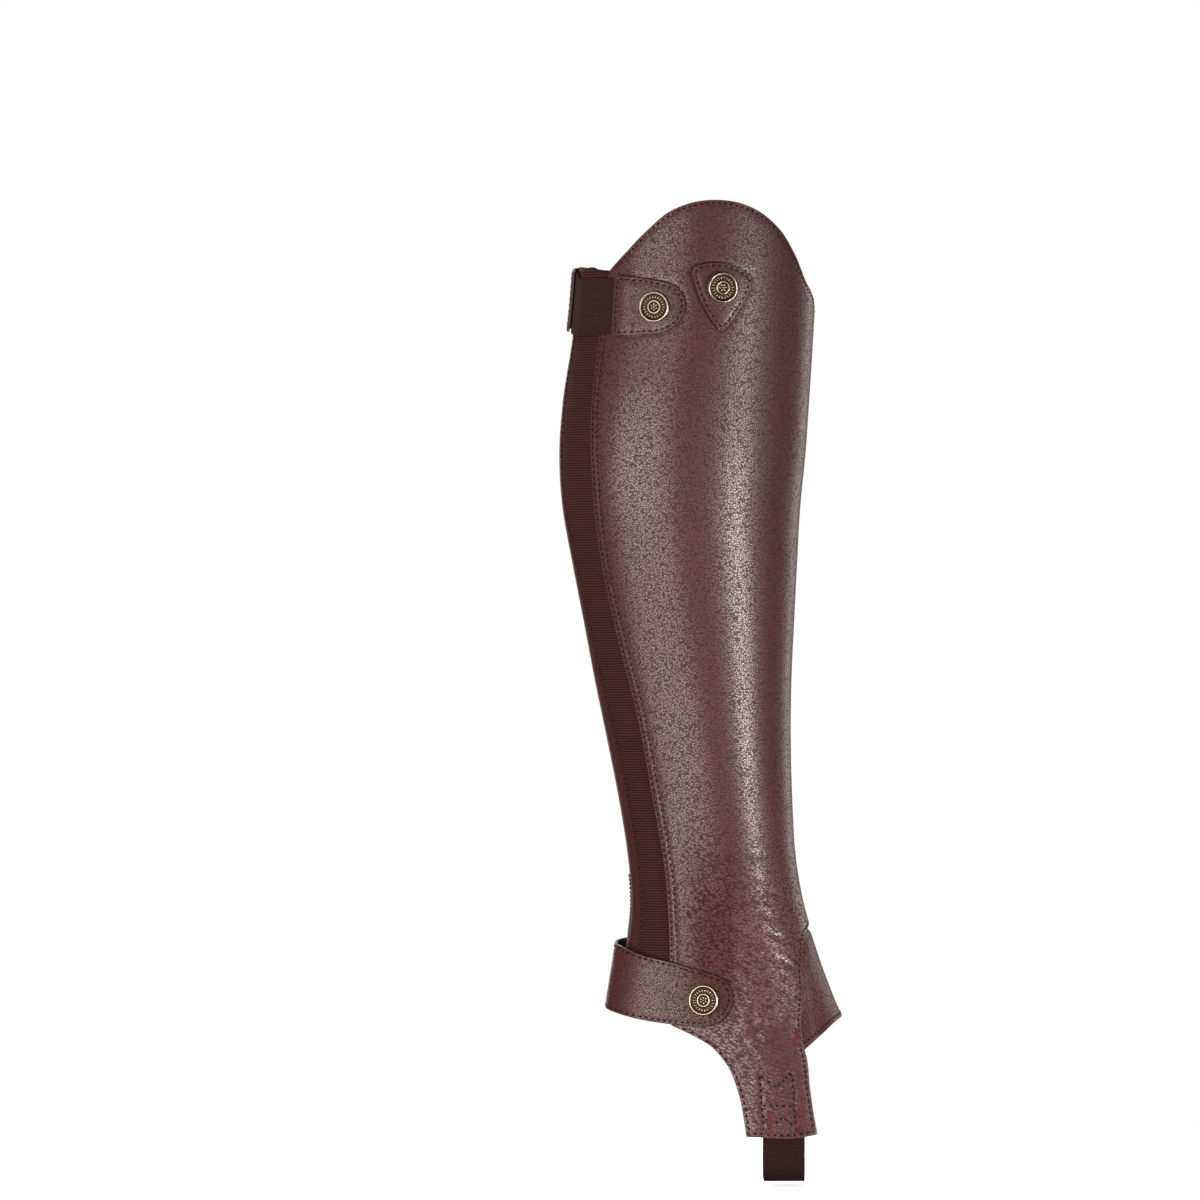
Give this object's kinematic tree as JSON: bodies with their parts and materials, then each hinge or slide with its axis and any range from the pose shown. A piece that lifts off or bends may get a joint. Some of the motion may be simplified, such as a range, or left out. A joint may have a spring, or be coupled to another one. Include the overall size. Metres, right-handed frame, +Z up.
{
  "type": "half chap",
  "caption": "Half chap for the right leg in pebbled leather with a domed top, back zip, stretch panel, snap straps and an elastic under the foot.",
  "frame": {"origin": "middle of the hollow at the widest part of the calf, where the wearer's leg holds the chap", "axes": "+Z up the leg, +X towards the toe, -Y to the outer side of a right leg"},
  "size_m": [0.1479, 0.1188, 0.513],
  "materials": {
    "main_panel": "pebbled brown leather, satin",
    "lining": "reddish brown suede",
    "dome_facing": "dark woven tape",
    "elastic_panel": "dark ribbed stretch cloth",
    "instep_gusset": "pebbled brown leather, satin",
    "zip_tape_inner": "dark woven tape",
    "zip_tape_outer": "dark woven tape",
    "zip_chain": "dark zip teeth",
    "zip_slider": "dull brass",
    "zip_pull": "dull brass",
    "top_strap_base": "pebbled brown leather, satin",
    "top_strap_tab": "pebbled brown leather, satin",
    "top_strap_elastic": "dark woven elastic",
    "badge_patch": "pebbled brown leather, satin",
    "ankle_strap": "pebbled brown leather, satin",
    "stirrup_elastic": "dark woven elastic",
    "snap_cap_top": "antique brass",
    "snap_cap_badge": "antique brass",
    "snap_cap_ankle": "antique brass"
  },
  "bodies": {
    "chap": {"main_panel": "main_panel", "lining": "lining", "dome_facing": "dome_facing", "elastic_panel": "elastic_panel", "instep_gusset": "instep_gusset", "zip_tape_inner": "zip_tape_inner", "zip_tape_outer": "zip_tape_outer", "zip_chain": "zip_chain", "zip_slider": "zip_slider", "top_strap_base": "top_strap_base", "top_strap_tab": "top_strap_tab", "top_strap_elastic": "top_strap_elastic", "badge_patch": "badge_patch", "ankle_strap": "ankle_strap", "stirrup_elastic": "stirrup_elastic", "snap_cap_top": "snap_cap_top", "snap_cap_badge": "snap_cap_badge", "snap_cap_ankle": "snap_cap_ankle"},
    "zip_pull": {"zip_pull": "zip_pull"}
  },
  "joints": [
    {"name": "zip_pull_hinge", "type": "hinge", "parent": "chap", "child": "zip_pull", "pos_m": [-0.03259, 0, -0.26806], "axis": [0, 1, 0], "range_deg": [0, 13]}
  ]
}
